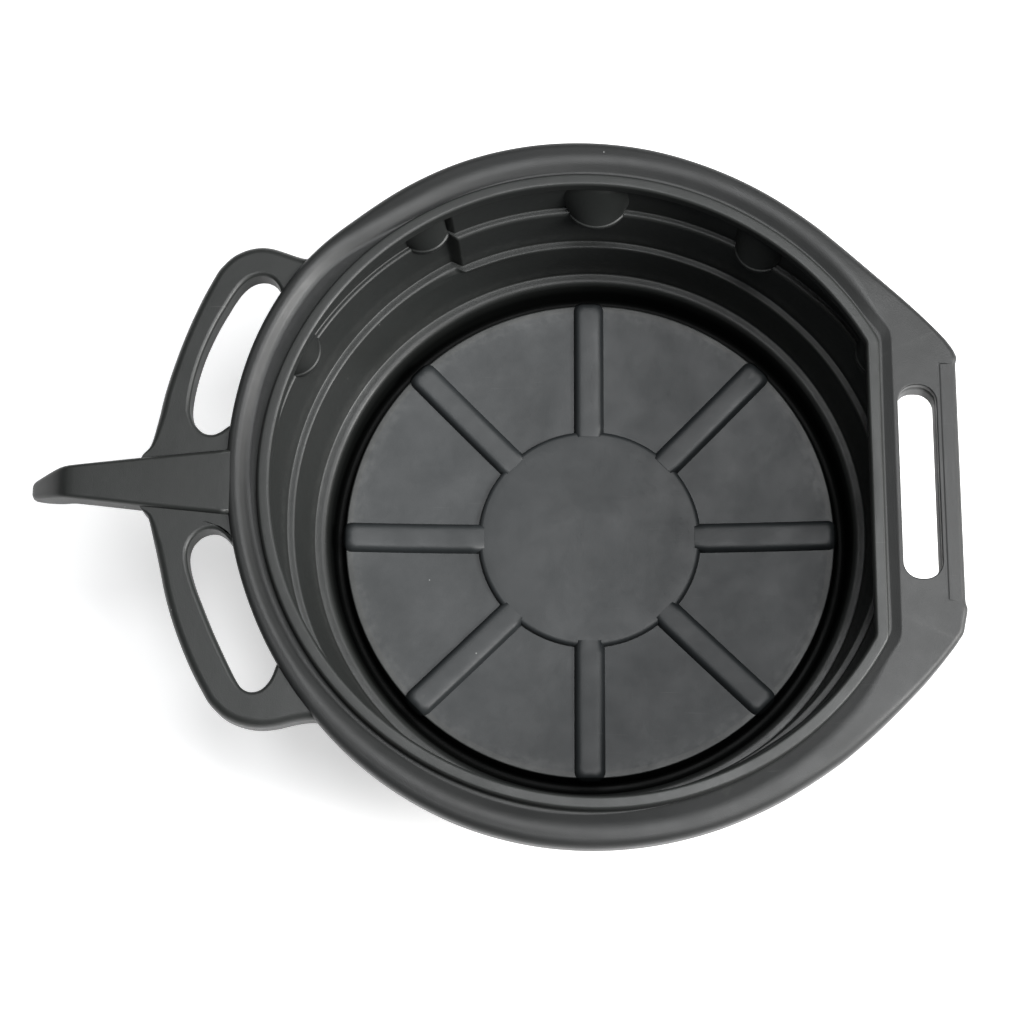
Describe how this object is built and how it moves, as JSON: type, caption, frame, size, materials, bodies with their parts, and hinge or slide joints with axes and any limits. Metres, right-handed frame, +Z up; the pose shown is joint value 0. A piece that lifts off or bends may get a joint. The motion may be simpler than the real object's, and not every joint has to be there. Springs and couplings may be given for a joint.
{
  "type": "oil drain pan",
  "caption": "Round stepped drain pan with a ribbed dished floor, an inward splash lip, a grooved rim, a slotted grip and, opposite it, loop handles with a hooked arm between.",
  "frame": {"origin": "the round tub's axis, at the surface the foot ring stands on", "axes": "+Z up out of the pan's mouth, +X from the tub's axis towards the slotted grip, so the loop handles and the hooked arm are on -X"},
  "size_m": [0.574, 0.4478, 0.152],
  "materials": {
    "black_polyethylene": "semi-matte moulded black, fine grain on the rim"
  },
  "bodies": {
    "root": {"center_disc": "black_polyethylene", "channel_wall": "black_polyethylene", "first_ledge": "black_polyethylene", "floor_panel": "black_polyethylene", "floor_ribs": "black_polyethylene", "foot_ring": "black_polyethylene", "foot_riser": "black_polyethylene", "grip_plate": "black_polyethylene", "grip_skirt": "black_polyethylene", "grip_slot_collar": "black_polyethylene", "hooked_arm": "black_polyethylene", "lower_bulge_wall": "black_polyethylene", "lower_loop_handle": "black_polyethylene", "lower_wall": "black_polyethylene", "rim_flange": "black_polyethylene", "rim_groove": "black_polyethylene", "rim_skirt": "black_polyethylene", "splash_lip": "black_polyethylene", "upper_bulge_wall": "black_polyethylene", "upper_loop_handle": "black_polyethylene", "upper_wall": "black_polyethylene", "wall_lugs": "black_polyethylene", "wall_steps": "black_polyethylene"}
  },
  "joints": []
}
